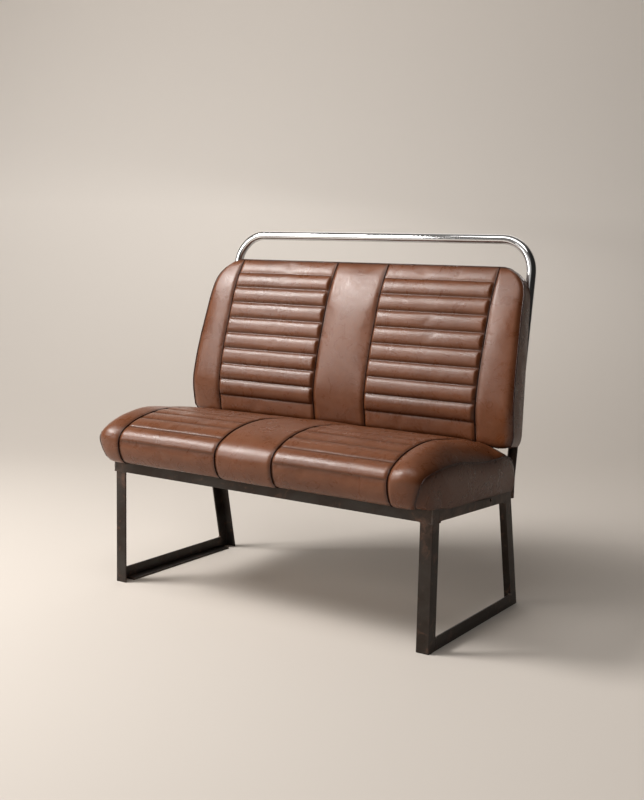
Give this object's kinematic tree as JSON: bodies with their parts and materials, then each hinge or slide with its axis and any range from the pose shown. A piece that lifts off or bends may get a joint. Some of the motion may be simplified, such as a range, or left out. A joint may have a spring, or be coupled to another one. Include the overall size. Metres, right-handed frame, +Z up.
{
  "type": "banquette",
  "caption": "Two-place banquette with a channelled leather seat and back, a welded steel angle base with side frames, and a bent chrome grab rail over the back.",
  "frame": {"origin": "on the floor, at the centre of the bounding box's bottom face", "axes": "+Z up; +X along the bench, to the right as seen by someone facing its front; -Y is the front; the bench is symmetric about the plane X = 0"},
  "size_m": [0.9938, 0.6005, 0.931],
  "materials": {
    "cover_leather": "semi-gloss, worn",
    "welt_leather": "semi-gloss, dark",
    "foam": "open-cell foam",
    "plywood": "raw plywood",
    "raw_steel": "mill scale under clear wax",
    "weld_steel": "rough weld bead",
    "chrome": "bright chrome plate",
    "dark_bolts": "black, satin",
    "zinc_steel": "zinc plated"
  },
  "bodies": {
    "root": {"back_board": "plywood", "back_bolts": "dark_bolts", "back_boxing": "cover_leather", "back_centre_cover": "cover_leather", "back_edge_welt": "welt_leather", "back_foam": "foam", "back_panel_welts": "welt_leather", "back_rear_cover": "cover_leather", "back_tee_nuts": "zinc_steel", "corner_welds": "weld_steel", "front_rail": "raw_steel", "grab_rail": "chrome", "left_back_fluted_cover": "cover_leather", "left_back_post": "raw_steel", "left_back_side_cover": "cover_leather", "left_floor_rail": "raw_steel", "left_front_leg": "raw_steel", "left_rear_leg": "raw_steel", "left_seat_end_cover": "cover_leather", "left_seat_end_welt": "welt_leather", "left_seat_fluted_cover": "cover_leather", "left_seat_side_cover": "cover_leather", "left_side_rail": "raw_steel", "rail_sleeves": "zinc_steel", "rear_rail": "raw_steel", "right_back_fluted_cover": "cover_leather", "right_back_post": "raw_steel", "right_back_side_cover": "cover_leather", "right_floor_rail": "raw_steel", "right_front_leg": "raw_steel", "right_rear_leg": "raw_steel", "right_seat_end_cover": "cover_leather", "right_seat_end_welt": "welt_leather", "right_seat_fluted_cover": "cover_leather", "right_seat_side_cover": "cover_leather", "right_side_rail": "raw_steel", "seat_board": "plywood", "seat_centre_cover": "cover_leather", "seat_foam": "foam", "seat_panel_welts": "welt_leather", "seat_rear_cover": "cover_leather", "seat_screws": "zinc_steel"}
  },
  "joints": []
}
